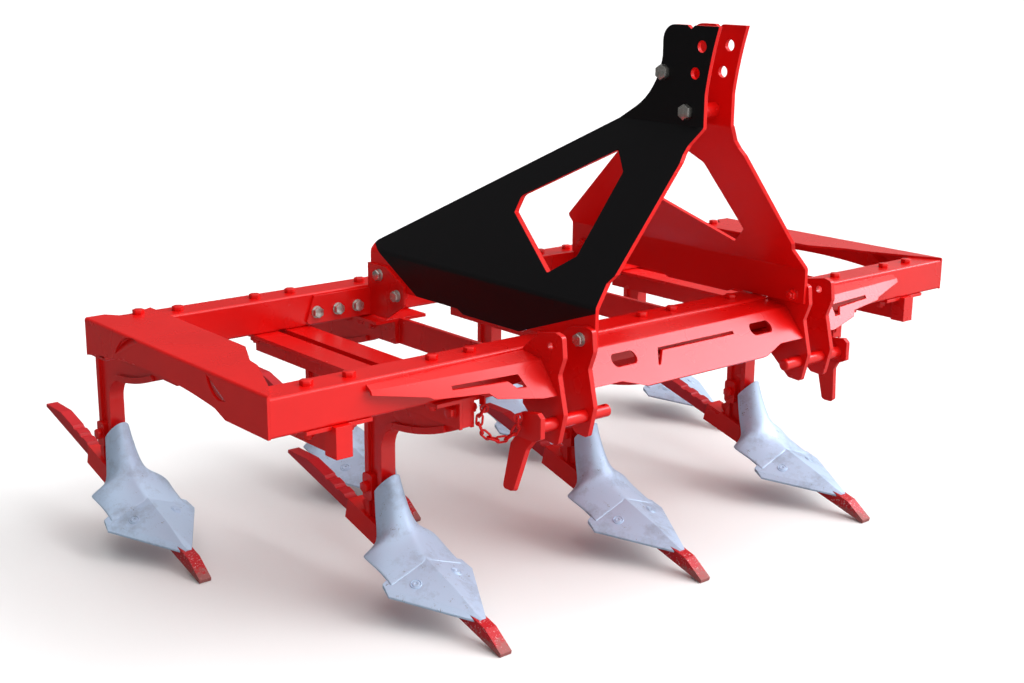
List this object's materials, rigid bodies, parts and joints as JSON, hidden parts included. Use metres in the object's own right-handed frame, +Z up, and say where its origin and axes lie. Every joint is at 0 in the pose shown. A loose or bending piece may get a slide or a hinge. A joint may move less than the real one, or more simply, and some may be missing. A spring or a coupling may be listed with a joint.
{
  "type": "duck foot cultivator",
  "caption": "Rigid-tine duck foot cultivator for a tractor's three-point hitch: tube frame, folded mast, pull-out hitch pins, forged tines with point bars and winged shovels.",
  "frame": {"origin": "on the ground under the middle of the machine's bounding box", "axes": "+X across the machine, -Y the direction of travel, +Z up"},
  "size_m": [2.12, 1.5464, 1.262],
  "materials": {
    "red_paint": "glossy red enamel",
    "black_paint": "semi-gloss black on the outside, red on the inside",
    "silver_cast": "cast surface under aluminium paint, smudged"
  },
  "bodies": {
    "root": {"front_beam": "red_paint", "rear_beam": "red_paint", "side_plate_left": "red_paint", "side_plate_right": "red_paint", "front_cover": "red_paint", "wing_cover_left": "red_paint", "wing_cover_right": "red_paint", "hitch_plates_left": "red_paint", "hitch_plates_right": "red_paint", "mast_spacers": "red_paint", "mast_foot_left": "red_paint", "mast_foot_right": "red_paint", "mast_plate_left": "black_paint", "mast_plate_right": "black_paint", "tine_holder_1": "red_paint", "tine_1": "red_paint", "point_bar_1": "red_paint", "shovel_body_1": "silver_cast", "share_1": "silver_cast", "tine_holder_2": "red_paint", "tine_2": "red_paint", "point_bar_2": "red_paint", "shovel_body_2": "silver_cast", "share_2": "silver_cast", "tine_holder_3": "red_paint", "tine_3": "red_paint", "point_bar_3": "red_paint", "shovel_body_3": "silver_cast", "share_3": "silver_cast", "tine_holder_4": "red_paint", "tine_4": "red_paint", "point_bar_4": "red_paint", "shovel_body_4": "silver_cast", "share_4": "silver_cast", "tine_holder_5": "red_paint", "tine_5": "red_paint", "point_bar_5": "red_paint", "shovel_body_5": "silver_cast", "share_5": "silver_cast", "tine_holder_6": "red_paint", "tine_6": "red_paint", "point_bar_6": "red_paint", "shovel_body_6": "silver_cast", "share_6": "silver_cast", "tine_holder_7": "red_paint", "tine_7": "red_paint", "point_bar_7": "red_paint", "shovel_body_7": "silver_cast", "share_7": "silver_cast", "tether_chain_left": "red_paint", "tether_chain_right": "red_paint"},
    "pin_left": {"hitch_pin_left": "red_paint"},
    "pin_right": {"hitch_pin_right": "red_paint"}
  },
  "joints": [
    {"name": "hitch_pin_left_slide", "type": "slide", "parent": "root", "child": "pin_left", "axis": [-1, 0, 0], "range_m": [0, 0.15], "deforming": ["tether_chain_left"]},
    {"name": "hitch_pin_right_slide", "type": "slide", "parent": "root", "child": "pin_right", "axis": [1, 0, 0], "range_m": [0, 0.15], "deforming": ["tether_chain_right"]}
  ]
}
